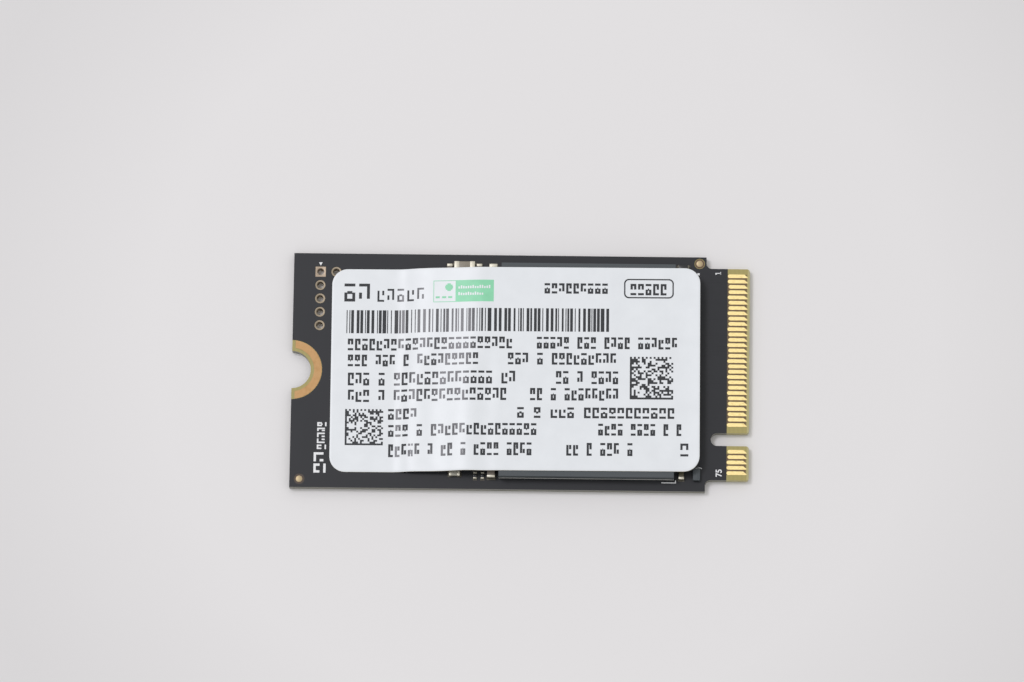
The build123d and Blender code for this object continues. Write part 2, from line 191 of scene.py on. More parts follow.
squeezed = add(tree, "Mapping", {"Vector": place, "Scale": LAYER_SQUEEZE})
layers = add(tree, "TexNoise", {"Vector": squeezed, "Scale": 1 / GLASS_LAYER_PITCH})
wall = add(tree, "Mix", {0: layers, 6: "#6b6a62", 7: "#8b897c"}, data_type="RGBA")
normal = add(tree, "SeparateXYZ", {0: add(tree, "NewGeometry").outputs["Normal"]})
flatness = add(tree, "Math", {0: normal.outputs["Z"]}, operation="ABSOLUTE")
not_wall = add(tree, "Math", {0: flatness, 1: UPRIGHT}, operation="GREATER_THAN")
bare = add(tree, "Math", {0: not_wall, 1: tip}, operation="MAXIMUM")
surface = add(tree, "Mix", {0: bare, 6: wall, 7: colour}, data_type="RGBA")
slanted = add(tree, "Math", {0: flatness, 1: SLANTED}, operation="LESS_THAN")
ground = add(tree, "Math", {0: slanted, 1: tip}, operation="MULTIPLY")
fill(shader, {
    "Base Color": add(tree, "Mix", {0: ground, 6: surface, 7: "#b5ad7e"}, data_type="RGBA"),
    "Normal": add(tree, "Bump", {"Height": weave, "Distance": 0.01 * MM, "Strength": 0.15}),
})
print("laminate material has", len(LAMINATE.node_tree.nodes), "nodes")

# %% [markdown]
# ## Black solder mask
# Solder mask is a resin paint over the copper, here black and satin. It rises a little over
# the traces that run to the contact fingers, and sags between copper areas. A folded ramp
# across the card gives the traces, and slow noise gives the sagging. Both are only bump,
# because the real relief is a few hundredths of a millimetre.

# %% Solder mask material
MASK_MOTTLE, MASK_GRAIN = 2.4 * MM, 0.12 * MM
TRACE_PITCH = 0.5 * MM           # as far apart as the contact fingers that they run to
TRACE_GROUP = 1.4 * MM
TRACES_START, TRACES_FULL = 15.5 * MM, 17.0 * MM

# Near black with a soft grey sheen, so that the bare metal on it stands out.
SOLDER_MASK, tree, shader, place = start_material("black_solder_mask", IOR=1.42)
mottle = add(tree, "TexNoise", {"Vector": place, "Scale": 1 / MASK_MOTTLE, "Detail": 4.0})
split = add(tree, "SeparateXYZ", {0: place})
across = add(tree, "Math", {0: split.outputs["Y"], 1: TRACE_PITCH / 2}, operation="PINGPONG")
trace = add(tree, "MapRange", {0: across, 1: 0.2 * TRACE_PITCH, 2: 0.3 * TRACE_PITCH},
            interpolation_type="SMOOTHSTEP")
line = add(tree, "Mapping", {"Vector": place, "Scale": (0, 1, 0)})
group = add(tree, "TexNoise", {"Vector": line, "Scale": 1 / TRACE_GROUP, "Detail": 0.0})
chosen = add(tree, "MapRange", {0: group, 1: 0.5, 2: 0.56})
near_tip = add(tree, "MapRange", {0: split.outputs["X"], 1: TRACES_START, 2: TRACES_FULL})
traces = add(tree, "Math", {0: trace, 1: near_tip}, operation="MULTIPLY")
traces = add(tree, "Math", {0: traces, 1: chosen}, operation="MULTIPLY")
grain = add(tree, "TexNoise", {"Vector": place, "Scale": 1 / MASK_GRAIN, "Detail": 2.0})
height = add(tree, "Math", {0: grain, 1: 0.15, 2: traces}, operation="MULTIPLY_ADD")
height = add(tree, "Math", {0: mottle, 1: 1.5, 2: height}, operation="MULTIPLY_ADD")
fill(shader, {
    "Base Color": two_tones(tree, mottle, ("#16181d", "#1a1c21")),
    "Roughness": add(tree, "MapRange", {0: mottle, 1: MIDDLE[0], 2: MIDDLE[1], 3: 0.40, 4: 0.48}),
    "Normal": add(tree, "Bump", {"Height": height, "Distance": 0.012 * MM, "Strength": 0.5}),
})

# %% [markdown]
# ## Metals: hard gold, thin gold over copper, and tin
# Contact fingers are plated with hard gold, bright and pale, with fine lines along the way
# that the socket wipes. The screw land and the header pads have only a thin gold over
# copper, so they look redder and softer. Solder is tin, bright but uneven where it froze;
# the solder round the chips and on the lands is painted dark as shade. A metal's colour is
# its Base Color with Metallic at one.

# %% Metal materials
ALONG_FINGER, ROLLED = (0.15, 1, 1), (0.1, 1, 1)


def plated_metal(name, tones, pitch, roughness, depth, stretch=(1, 1, 1)):
    """Metal whose tone, roughness and relief follow one noise; its pitch and depth are in mm."""
    material, tree, shader, place = start_material(name, Metallic=1.0)
    squeezed = add(tree, "Mapping", {"Vector": place, "Scale": stretch})
    grain = add(tree, "TexNoise", {"Vector": squeezed, "Scale": 1 / (pitch * MM), "Detail": 3.0})
    low, high = roughness
    fill(shader, {
        "Base Color": two_tones(tree, grain, tones),
        "Roughness": add(tree, "MapRange", {0: grain, 1: MIDDLE[0], 2: MIDDLE[1], 3: low, 4: high}),
        "Normal": add(tree, "Bump", {"Height": grain, "Distance": depth * MM, "Strength": 0.5}),
    })
    return material


# Pale bright gold, the lightest metal here, drawn out into fine lines.
HARD_GOLD = plated_metal("hard_gold_plate", ("#ecd492", "#f8e4a6"), 0.05, (0.24, 0.38), 0.004, ALONG_FINGER)
# Soft orange, the copper showing through the gold.
THIN_GOLD = plated_metal("thin_gold_over_copper", ("#9d7c55", "#a98861"), 0.5, (0.34, 0.5), 0.004)
# Duller tan of pads that nothing wipes.
PAD_GOLD = plated_metal("thin_gold_pads", ("#8e8371", "#9e9381"), 0.2, (0.48, 0.62), 0.002)
# The first pad, worn until it is nearly copper.
WORN_GOLD = plated_metal("worn_gold_on_copper", ("#9e8f7e", "#ae9f8d"), 0.2, (0.46, 0.6), 0.004)
# Round targets in clean gold, small bright points.
DOT_GOLD = plated_metal("clean_gold_dots", ("#a89878", "#b8a888"), 0.2, (0.46, 0.6), 0.003)
# Creamy bright ends of the chips.
TIN = plated_metal("reflowed_tin", ("#c4c0b1", "#d4d0c1"), 0.12, (0.42, 0.6), 0.006)
# Solder that the caps stand in, painted dark: painted shade and a painted dark reflection of the board
# beside the chips.
SHADE_DARKENED_TIN = plated_metal("solder_painted_shade", ("#5c5a52", "#7c796e"), 0.1, (0.4, 0.6), 0.01)
# Flat lid with fine rolling lines.
PLATED_LID = plated_metal("brushed_plated_lid", ("#b7b0a0", "#cdc6b4"), 0.06, (0.28, 0.4), 0.003, ROLLED)

# %% [markdown]
# ## Moulded epoxy, fired ceramic and ferrite
# Chip packages are moulded in epoxy filled with ground silica, a dark grey with a fine
# matte grain. Capacitors are fired ceramic, resistors wear a black glaze, and inductors are
# pressed metal powder. They differ in tone, in grain size and in shine.

# %% Body materials
GRAIN_SPAN, SPECK_SPAN = (0.35, 0.65), (0.66, 0.7)


def powdery(name, tones, grain_size, roughness, depth, speck=None):
    """Dull body with a fine grain, in mm, and scattered specks if they are given a colour."""
    material, tree, shader, place = start_material(name, Roughness=roughness, IOR=1.52)
    scale = 1 / (grain_size * MM)
    grain = add(tree, "TexNoise", {"Vector": place, "Scale": scale, "Detail": 5.0, "Roughness": 0.7})
    colour = two_tones(tree, grain, tones, GRAIN_SPAN)
    if speck:
        fine = add(tree, "TexNoise", {"Vector": place, "Scale": 3 * scale, "Detail": 2.0})
        colour = two_tones(tree, fine, (colour, speck), SPECK_SPAN)
    fill(shader, {
        "Base Color": colour,
        "Normal": add(tree, "Bump", {"Height": grain, "Distance": depth * MM, "Strength": 0.7}),
    })
    return material


# Charcoal with pale grains, drier than the mask beside it.
MOULD = powdery("silica_filled_epoxy", ("#3a4043", "#464c50"), 0.07, 0.6, 0.006, "#5a5d60")
# Nearly black, with a finer grain than the large package.
SMALL_MOULD = powdery("small_chip_epoxy", ("#26282a", "#323437"), 0.06, 0.58, 0.004)
# Substrate edge under the package, painted near white: a painted highlight for the bright glint along the
# package's lower edge.
SUBSTRATE_PAINTED_HIGHLIGHT = powdery("package_substrate_painted_highlight", ("#e4e5e0", "#f4f5f0"), 0.1, 0.35, 0.003)
# Ceramics fired from different powders, from pale grey to olive brown.
CERAMIC, PALE_CERAMIC, GREY_CERAMIC, BROWN_CERAMIC, OLIVE_CERAMIC = (
    powdery(name, tones, 0.08, 0.4, 0.003) for name, tones in (
        ("fired_ceramic", ("#696358", "#7f786b")), ("pale_fired_ceramic", ("#8f8d80", "#a3a194")),
        ("grey_fired_ceramic", ("#7b7468", "#8b8477")), ("brown_fired_ceramic", ("#5e554b", "#6c6257")),
        ("olive_fired_ceramic", ("#4b4631", "#58523b"))))
# Glassy black.
GLAZE = powdery("black_resistor_glaze", ("#141517", "#1c1e20"), 0.1, 0.3, 0.002)
# Mid grey with bright iron grains.
FERRITE = powdery("pressed_ferrite", ("#45464a", "#58595d"), 0.06, 0.55, 0.006, "#77787c")

# %% [markdown]
# ## Label film, its print and the board's legend
# The label is white polyester, and its print is a resin melted on from a ribbon. The resin
# is glossier than the film, so the print turns pale grey wherever the film tilts a lamp's
# reflection into view, while the white round it hardly changes. The film's cut edge shows
# its cream glue. The legend on the board is white ink, matte and a little uneven.

# %% Film and print materials
FILM_RIPPLE, RIPPLE_DEPTH = 3.5 * MM, 0.05 * MM


def coated(name, tones, pitch, roughness, index):
    """Smooth surface of one tone, its pitch in mm, with the slow ripple of thin plastic."""
    material, tree, shader, place = start_material(name, Roughness=roughness, IOR=index)
    grain = add(tree, "TexNoise", {"Vector": place, "Scale": 1 / (pitch * MM), "Detail": 3.0})
    ripple = add(tree, "TexNoise", {"Vector": place, "Scale": 1 / FILM_RIPPLE, "Detail": 1.5})
    fill(shader, {
        "Base Color": two_tones(tree, grain, tones),
        "Normal": add(tree, "Bump", {"Height": ripple, "Distance": RIPPLE_DEPTH}),
    })
    return material


# Cool paper white that hardly shines.
FILM = coated("white_polyester_film", ("#d9dde0", "#dde1e4"), 1.5, 0.41, 1.55)
# Charcoal resin, glossy enough to fade where the lamp is mirrored.
PRINT = coated("glossy_ribbon_print", ("#26282c", "#2e3135"), 0.25, 0.26, 1.42)
# Printed mint green, under the same clear skin as the film.
GREEN_FIELD = coated("green_printed_field", ("#80c9a0", "#8ad5ac"), 1.2, 0.42, 1.5)
# Cream line round the film.
FILM_EDGE = powdery("film_cut_edge", ("#d9d2bf", "#ebe5d4"), 0.1, 0.5, 0.002)
# Dry white strokes on the black mask.
LEGEND = powdery("white_legend_coat", ("#d2d4d6", "#ecedee"), 0.12, 0.5, 0.006)

# %% [markdown]
# ## Dressing the frame's own nodes
# A node whose shape is already right keeps its mesh, and only its material changes.

# %% Give CAD nodes their finish
FINISHES = {
    "board_laminate": LAMINATE, "solder_mask_top": SOLDER_MASK, "solder_mask_bottom": SOLDER_MASK,
    "screw_land_top": THIN_GOLD, "screw_land_bottom": THIN_GOLD, "test_pads": PAD_GOLD,
    # The lands' dark solder colour is painted shade.
    # The package substrate's near-white colour is a painted highlight.
    "component_lands": SHADE_DARKENED_TIN, "package_mould": MOULD, "package_substrate": SUBSTRATE_PAINTED_HIGHLIGHT,
}
for node, finish in FINISHES.items():
    for material_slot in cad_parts[node].material_slots:
        material_slot.material = finish
print(len(FINISHES), "nodes keep their own mesh")

# %% [markdown]
# ## Making a piece
# Each new piece is shaped as a bmesh and written once to an object at the origin. Edges that
# turn sharply are marked, so that smooth shading stays on the round parts only.

# %% Piece helpers
SHARP_TURN = math.radians(32)


def put(name, data):
    """New object in the scene that holds this data."""
    made = bpy.data.objects.new(name, data)
    bpy.context.scene.collection.objects.link(made)
    return made


def mesh_of(name, shape):
    """New mesh with the shape of a bmesh, which is freed."""
    mesh = bpy.data.meshes.new(name)
    shape.to_mesh(mesh)
    shape.free()
    return mesh


def join_into(target, source, matrix=Matrix()):
    """Append a bmesh to another, placed by a matrix, and free the first."""
    holder = mesh_of("holder", source)
    holder.transform(matrix)
    target.from_mesh(holder)
    bpy.data.meshes.remove(holder)


def write_piece(name, shape, materials, slot, *stands_for):
    """Turn a bmesh into a finished object that rides on the card."""
    bmesh.ops.recalc_face_normals(shape, faces=shape.faces)
    for face in shape.faces:
        face.smooth = True
    for edge in shape.edges:
        if len(edge.link_faces) == 2:
            edge.smooth = edge.calc_face_angle(0) < SHARP_TURN
    piece = put(name, mesh_of(name, shape))
    for material in materials:
        piece.data.materials.append(material)
    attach(piece, "root")
    if stands_for:
        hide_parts(*stands_for)
    print(name, "has", len(piece.data.polygons), "faces")


def open_edges(shape):
    """Edges that have a face on one side only."""
    return [edge for edge in shape.edges if edge.is_boundary]


def thicken(shape, height):
    """Extrude every face of a bmesh upwards, and give the corners that moved."""
    made = bmesh.ops.extrude_face_region(shape, geom=shape.faces[:])["geom"]
    moved = [item for item in made if isinstance(item, bmesh.types.BMVert)]
    bmesh.ops.translate(shape, verts=moved, vec=(0, 0, height))
    return moved


def soften(shape, edges, offset, clamp=False):
    """Round some edges of a bmesh."""
    bmesh.ops.bevel(shape, geom=edges, offset=offset, segments=2, profile=0.5, affect="EDGES",
                    material=-1, clamp_overlap=clamp)


def block(low, high, bevel, material_index=0):
    """Box between two corners as its own bmesh, with rounded edges."""
    low, high = Vector(low), Vector(high)
    shape = bmesh.new()
    place = Matrix.Translation((low + high) / 2) @ Matrix.Diagonal((*(high - low), 1))
    bmesh.ops.create_cube(shape, size=1, matrix=place)
    soften(shape, shape.edges[:], bevel, True)
    for face in shape.faces:
        face.material_index = material_index
    return shape

# %% [markdown]
# ## Contact fingers
# Each finger is a thin gold strip with a round root and a slant-cut tip, and a narrow stub
# of the plating tie bar runs on from it. A circle is stretched to a strip, and a plane cuts
# the slant away, which needs no list of points. The frame's box gives the place of the row,
# and the contact numbers give which places are filled.

# %% Contact fingers
FINGER_WIDTH = 0.35 * MM
CONTACT_STEP, CONTACT_COUNT = 0.25 * MM, 75
KEY_CONTACTS = range(59, 67)
PLANE_CONTACTS = [1, *range(3, 58, 6), 71, 73, 75, 2, 4, 12, 14, 16, 18, 70, 72, 74]
PLANE_REACH, TIP_CUT, TIE_STUB = 0.08 * MM, 0.32 * MM, 0.08 * MM
ROOT_SEGMENTS = 16


def finger(length):
    """One finger that starts at x = 0, with a round root and a slant-cut tip."""
    shape = bmesh.new()
    half = FINGER_WIDTH / 2
    bmesh.ops.create_circle(shape, cap_ends=True, segments=ROOT_SEGMENTS, radius=half,
                            matrix=Matrix.Translation((half, 0, 0)))
    for corner in shape.verts:
        if corner.co.x > half * 1.01:
            corner.co.x = length
    bmesh.ops.remove_doubles(shape, verts=shape.verts[:], dist=half * 0.001)
    cut = Vector((2 * half - TIE_STUB, TIP_CUT, 0))
    bmesh.ops.bisect_plane(shape, geom=shape.verts[:] + shape.edges[:] + shape.faces[:],
                           plane_co=(length, TIE_STUB - half, 0), plane_no=cut, clear_outer=True)
    bmesh.ops.contextual_create(shape, geom=open_edges(shape))
    thicken(shape, LAYER)
    return shape


def finger_row(name, node, first, z, turn):
    """All fingers of one face; the underside's row is turned over about the row's line."""
    low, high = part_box(node)
    row = bmesh.new()
    contacts = [contact for contact in range(first, CONTACT_COUNT + 1, 2) if contact not in KEY_CONTACTS]
    for contact in contacts:
        reach = 0 if contact in PLANE_CONTACTS else PLANE_REACH
        place = Vector((low.x + reach, ((CONTACT_COUNT + 1) / 2 - contact) * CONTACT_STEP, z))
        join_into(row, finger(high.x - low.x - reach), Matrix.Translation(place) @ turn)
    print(name, "has", len(contacts), "fingers")
    write_piece(name, row, [HARD_GOLD], "contact_gold", node)


finger_row("gold_fingers_top", "contact_fingers_top", 1, FINGERS_LOW.z, Matrix())
finger_row("gold_fingers_bottom", "contact_fingers_bottom", 2, LAYER, Matrix.Rotation(math.pi, 4, "X"))

# %% [markdown]
# ## Header eyelets and alignment dots
# A plated hole is a round profile spun about its axis: barrel, a soft lip, and a flat pad on
# each face. The first pad is square, which is how a board marks the first pin, so its outer
# ring is pushed out to a square after the spin.

# %% Header eyelets
SPIN_STEPS = 32
HOLE, LIP = 0.305 * MM, 0.03 * MM


def spun(profile, square=0.0):
    """Closed profile of (radius, height) pairs spun about z; square widens the outer ring."""
    shape = bmesh.new()
    corners = [shape.verts.new((radius, 0, height)) for radius, height in profile]
    sides = [shape.edges.new((a, b)) for a, b in zip(corners, corners[1:] + corners[:1])]
    bmesh.ops.spin(shape, geom=corners + sides, cent=(0, 0, 0), axis=(0, 0, 1), dvec=(0, 0, 0),
                   angle=2 * math.pi, steps=SPIN_STEPS, use_merge=True)
    for corner in shape.verts if square else ():
        radius = corner.co.xy.length
        if radius > square * 0.98:
            corner.co.xy *= radius / max(abs(corner.co.x), abs(corner.co.y))
    return shape


for index in range(1, 7):
    node = f"header_eyelet_{index}"
    low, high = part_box(node)
    middle, pad = (low + high) / 2, (high.x - low.x) / 2
    top, bottom, wall = high.z, low.z, HOLE + 1.2 * LIP
    profile = [
        (HOLE, bottom + LIP), (HOLE, top - LIP), (HOLE + 0.3 * LIP, top - 0.3 * LIP), (HOLE + LIP, top),
        (pad - 0.25 * LIP, top), (pad, top - 0.25 * LIP), (pad, top - LAYER), (wall, top - LAYER),
        (wall, bottom + LAYER), (pad, bottom + LAYER), (pad, bottom), (HOLE + LIP, bottom),
    ]
    shape = spun(profile, pad if index == 1 else 0.0)
    bmesh.ops.translate(shape, verts=shape.verts[:], vec=(middle.x, middle.y, 0))
    finish = WORN_GOLD if index == 1 else PAD_GOLD
    write_piece(f"plated_eyelet_{index}", shape, [finish], "copper_land", node)

# %% Alignment dots
# A small round pad with a soft rim.
for index in (1, 2):
    node = f"alignment_dot_{index}"
    low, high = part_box(node)
    middle, radius = (low + high) / 2, (high.x - low.x) / 2
    shape = bmesh.new()
    bmesh.ops.create_cone(shape, cap_ends=True, segments=SPIN_STEPS, radius1=radius, radius2=radius,
                          depth=high.z - low.z, matrix=Matrix.Translation(middle))
    rim = [edge for edge in shape.edges if min(corner.co.z for corner in edge.verts) > middle.z]
    soften(shape, rim, LAYER * 0.35)
    write_piece(f"bright_dot_{index}", shape, [DOT_GOLD], "copper_land", node)

# %% [markdown]
# ## Chip parts and their solder
# A chip capacitor or resistor is a brick with a metal cap at each end, and solder climbs
# each cap from its land in a hollow curve. The frame's box says how long and which way
# round each one is, so one function makes them all. The solder is a small grid bent to that
# curve.

# %% Chips
PLAIN_CAP, BULK_CAP, TINY_CAP, STRAP_CAP = 0.25, 0.15, 0.2, 0.1      # shares of a chip's length
CAP_SHARES = {
    "bulk_capacitor_1": BULK_CAP, "bulk_capacitor_2": BULK_CAP, "lower_bulk_capacitor": BULK_CAP,
    "lower_resistor_1": TINY_CAP, "lower_resistor_2": TINY_CAP, "strap_resistor": STRAP_CAP,
    "feedback_resistor_1": TINY_CAP, "feedback_resistor_2": TINY_CAP,
}
CERAMICS = {
    "upper_bulk_capacitor": GREY_CERAMIC, "lower_filter_capacitor": PALE_CERAMIC,
    "lower_bulk_capacitor": BROWN_CERAMIC, "upper_filter_capacitor_3": OLIVE_CERAMIC,
    "end_capacitor": OLIVE_CERAMIC,
}
COUPLING_COUNT, COUPLING_WIDTH = 8, 0.3 * MM
CHIP_SKIN, INDUCTOR_SKIN = 0.02 * MM, 0.03 * MM      # how far a body stays inside its metal ends
SOLDER_RUN, SOLDER_STEPS = 0.08 * MM, 6


def solder_fillet(width, rise):
    """Solder at x = 0 that falls away along +x, hollow in front and rounded at its sides."""
    shape = bmesh.new()
    bmesh.ops.create_grid(shape, x_segments=SOLDER_STEPS, y_segments=SOLDER_STEPS, size=0.5)
    for corner in shape.verts:
        run = corner.co.x + 0.5
        side = corner.co.y * 2
        corner.co.x = run * SOLDER_RUN
        corner.co.y = side * width / 2 * (1 - 0.12 * run)
        corner.co.z = rise * (1 - run) ** 2 * (1 - 0.35 * side ** 2) + 0.02 * rise
    skirt = bmesh.ops.extrude_edge_only(shape, edges=open_edges(shape))
    for item in skirt["geom"]:
        if isinstance(item, bmesh.types.BMVert):
            item.co.z = 0
    bmesh.ops.contextual_create(shape, geom=open_edges(shape))
    return shape


def add_ends(shape, length, end, half_width, height, bevel):
    """Metal at both ends of a brick that lies along x."""
    for side in (-1, 1):
        left, right = sorted((side * (length / 2 - end), side * length / 2))
        join_into(shape, block((left, -half_width, 0), (right, half_width, height), bevel, 1))


def chip_place(low, high):
    """Middle of a chip's foot with its turn, and its size along its own length."""
    size = high - low
    middle = (low + high) / 2
    middle.z = low.z
    turn = Matrix.Rotation(math.pi / 2 if size.y > size.x else 0, 4, "Z")
    return Matrix.Translation(middle) @ turn, (max(size.xy), min(size.xy), size.z)


solder = bmesh.new()


def seat_chip(shape, name, low, high):
    """Add a brick with two caps to a bmesh, and its two fillets to the solder."""
    place, (length, width, height) = chip_place(low, high)
    cap, bevel = length * CAP_SHARES.get(name, PLAIN_CAP), 0.06 * height
    half, side = length / 2 - cap * 0.6, width / 2 - CHIP_SKIN
    chip = block((-half, -side, CHIP_SKIN), (half, side, height - CHIP_SKIN), bevel)
    add_ends(chip, length, cap, width / 2, height, bevel * 1.3)
    join_into(shape, chip, place)
    for turn in (0, math.pi):
        foot = Matrix.Rotation(turn, 4, "Z") @ Matrix.Translation((length / 2 - bevel / 2, 0, 0))
        join_into(solder, solder_fillet(width, height * 0.55), place @ foot)


chip_nodes = sorted(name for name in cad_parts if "capacitor" in name or "resistor" in name)
for name in chip_nodes:
    low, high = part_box(name)
    shape = bmesh.new()
    if name == "coupling_capacitors":
        step = (high.y - low.y - COUPLING_WIDTH) / (COUPLING_COUNT - 1)
        for index in range(COUPLING_COUNT):
            y = low.y + index * step
            seat_chip(shape, name, Vector((low.x, y, low.z)), Vector((high.x, y + COUPLING_WIDTH, high.z)))
    else:
        seat_chip(shape, name, low, high)
    body = GLAZE if "resistor" in name else CERAMICS.get(name, CERAMIC)
    # The strap resistor's ends take the solder that is painted dark as shade.
    cap_metal = SHADE_DARKENED_TIN if name == "strap_resistor" else TIN
    slot_name = "resistor_body" if "resistor" in name else "ceramic_body"
    write_piece(f"capped_{name}", shape, [body, cap_metal], slot_name, name)
# The fillets take the solder that is painted dark as shade.
write_piece("solder_fillets", solder, [SHADE_DARKENED_TIN], "tin_solder", "chip_solder")
print(len(chip_nodes), "chip nodes dressed")

# %% [markdown]
# ## Moulded chips, inductors, crystal and diode
# The flat chips are moulded blocks with softened edges: a bevelled block in the node's box
# replaces each one. An inductor is a pressed powder block with a contact wrapped round each
# end, and the crystal is a ceramic tray with a plated lid welded over it.

# %% Flat parts
for name, mould, bevel in (("power_chip", SMALL_MOULD, 0.03), ("load_switch_chip", SMALL_MOULD, 0.03),
                           ("serial_memory_chip", SMALL_MOULD, 0.04), ("clamp_diode", MOULD, 0.05)):
    write_piece(f"moulded_{name}", block(*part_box(name), bevel * MM), [mould], "chip_mould", name)

for index in (1, 2, 3):
    node = f"power_inductor_{index}"
    place, (length, width, height) = chip_place(*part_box(node))
    half = length / 2 - INDUCTOR_SKIN
    shape = block((-half, -width / 2, INDUCTOR_SKIN), (half, width / 2, height), 0.1 * MM)
    add_ends(shape, length, 0.25 * length, width * 0.4, height / 2, INDUCTOR_SKIN)
    bmesh.ops.transform(shape, matrix=place, verts=shape.verts[:])
    write_piece(f"pressed_inductor_{index}", shape, [FERRITE, TIN], "ferrite", node)

LID_SHARE, LID_INSET = 0.48, 0.12 * MM
low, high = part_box("crystal")
split = low.z + (1 - LID_SHARE) * (high.z - low.z)
shape = block(low, (high.x, high.y, split), 0.05 * MM)
join_into(shape, block((low.x + LID_INSET, low.y + LID_INSET, split),
                       (high.x - LID_INSET, high.y - LID_INSET, high.z), 0.06 * MM, 1))
write_piece("welded_crystal", shape, [CERAMIC, PLATED_LID], "crystal_lid", "crystal")

# %% [markdown]
# ## Solder balls under the storage package
# The package stands on balls that were pressed to barrels as they melted. Only the outer
# ring can be seen, so only that is there: one low sphere, repeated along the ring.

# %% Package balls
BALL_PITCH, BALL_RADIUS = 1.0 * MM, 0.2 * MM
BALL_SWELL, BALL_SINK = 1.25, 1.3       # wider than round, and let into the card and the package

low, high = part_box("package_balls")
columns = round((high.x - low.x - 2 * BALL_RADIUS) / BALL_PITCH) + 1
rows = round((high.y - low.y - 2 * BALL_RADIUS) / BALL_PITCH) + 1
start = (low + high) / 2 - Vector((columns - 1, rows - 1, 0)) * BALL_PITCH / 2
squash = Matrix.Diagonal((BALL_SWELL, BALL_SWELL, (high.z - low.z) / 2 / BALL_RADIUS * BALL_SINK, 1))
ring = bmesh.new()
for column in range(columns):
    for row in range(rows):
        if column in (0, columns - 1) or row in (0, rows - 1):
            place = start + Vector((column, row, 0)) * BALL_PITCH
            bmesh.ops.create_uvsphere(ring, u_segments=12, v_segments=6, radius=BALL_RADIUS,
                                      matrix=Matrix.Translation(place) @ squash)
write_piece("pressed_balls", ring, [TIN], "tin_solder", "package_balls")

# %% [markdown]
# ## The label film
# The film lies on the board at the left, climbs over the small parts in two arcs and rests
# on the package, with its right end a little proud. Slow waves follow the parts under the
# ramp, clearly in the lower half and faintly in the upper half. A formula gives the height
# anywhere, so film and print agree. The film is a fine grid, and its corners are drawn
# round by sliding each square ring of points onto a quarter circle. It was stuck on by
# hand, so film and print are turned a fraction of a degree at the very end.

# %% Height of the film
FILM_THICKNESS, FILM_CORNER = 0.1 * MM, 1.45 * MM
FILM_HALF = Vector((33.86, 19.06, 0)) / 2 * MM
FILM_MIDDLE = (FILM_LOW + FILM_HIGH) / 2
FILM_TURN = math.radians(0.23)
RAMP_LENGTH, FOOT_RADIUS = 10.0 * MM, 6.0 * MM
CREST_X = MOULD_LOW.x - 0.1 * MM
FOOT_X = CREST_X - RAMP_LENGTH
SLOPE = 2 * math.atan2(MOULD_HIGH.z - BOARD_TOP, RAMP_LENGTH)
CREST_RADIUS = RAMP_LENGTH / math.sin(SLOPE) - FOOT_RADIUS
END_LIFT = FILM_HIGH.z - FILM_THICKNESS - MOULD_HIGH.z
WAVE_HEIGHT, WAVE_LENGTH, WAVE_FADE = 0.13 * MM, 5.4 * MM, 2.0 * MM
HALVES_MEET_Y, HALVES_BLEND = 1.0 * MM, 1.2 * MM
LOWER_STEEPEST_X, UPPER_STEEPEST_X = -6.2 * MM, -5.0 * MM
LOWER_SHARE, UPPER_SHARE = 1.0, 0.45


def smooth_step(value):
    """Nought to one and flat at both ends."""
    value = min(max(value, 0.0), 1.0)
    return value * value * (3 - 2 * value)


def film_underside(x, y):
    """Height of the film's lower face over a point of the card."""
    if x <= FOOT_X:
        return BOARD_TOP
    if x >= MOULD_HIGH.x:
        past = (x - MOULD_HIGH.x) / (FILM_HIGH.x - MOULD_HIGH.x)
        return MOULD_HIGH.z + END_LIFT * past ** 2
    if x >= CREST_X:
        return MOULD_HIGH.z
    along = x - FOOT_X
    if along <= FOOT_RADIUS * math.sin(SLOPE):
        height = BOARD_TOP + FOOT_RADIUS - math.sqrt(FOOT_RADIUS ** 2 - along ** 2)
    else:
        height = MOULD_HIGH.z - CREST_RADIUS + math.sqrt(CREST_RADIUS ** 2 - (CREST_X - x) ** 2)
    fade = smooth_step(along / WAVE_FADE) * smooth_step((RAMP_LENGTH - along) / WAVE_FADE)
    lower = 1 / (1 + math.exp((y - HALVES_MEET_Y) / HALVES_BLEND))
    share = LOWER_SHARE * lower + UPPER_SHARE * (1 - lower)
    steepest = LOWER_STEEPEST_X * lower + UPPER_STEEPEST_X * (1 - lower)
    return height + WAVE_HEIGHT * share * fade * math.sin(2 * math.pi * (x - steepest) / WAVE_LENGTH)


def film_top(x, y):
    """Height of the film's upper face."""
    return film_underside(x, y) + FILM_THICKNESS

# %% The film itself
FILM_CELL, FILM_RIM = 0.22 * MM, 0.02 * MM
STUCK_ON = (Matrix.Translation(FILM_MIDDLE) @ Matrix.Rotation(FILM_TURN, 4, "Z")
            @ Matrix.Translation(-FILM_MIDDLE))


def rounded_corner(x, y):
    """Slide a point of the film so that its square corner becomes a quarter circle."""
    flat_x, flat_y = FILM_HALF.x - FILM_CORNER, FILM_HALF.y - FILM_CORNER
    past_x, past_y = abs(x) - flat_x, abs(y) - flat_y
    if past_x > 0 and past_y > 0:
        reach = max(past_x, past_y) / math.hypot(past_x, past_y)
        x = math.copysign(flat_x + past_x * reach, x)
        y = math.copysign(flat_y + past_y * reach, y)
    return x, y


def label_piece(name, shape, materials, *stands_for):
    """Turn a part of the label as the film is turned, and write it."""
    bmesh.ops.transform(shape, matrix=STUCK_ON, verts=shape.verts[:])
    write_piece(name, shape, materials, "label_film", *stands_for)


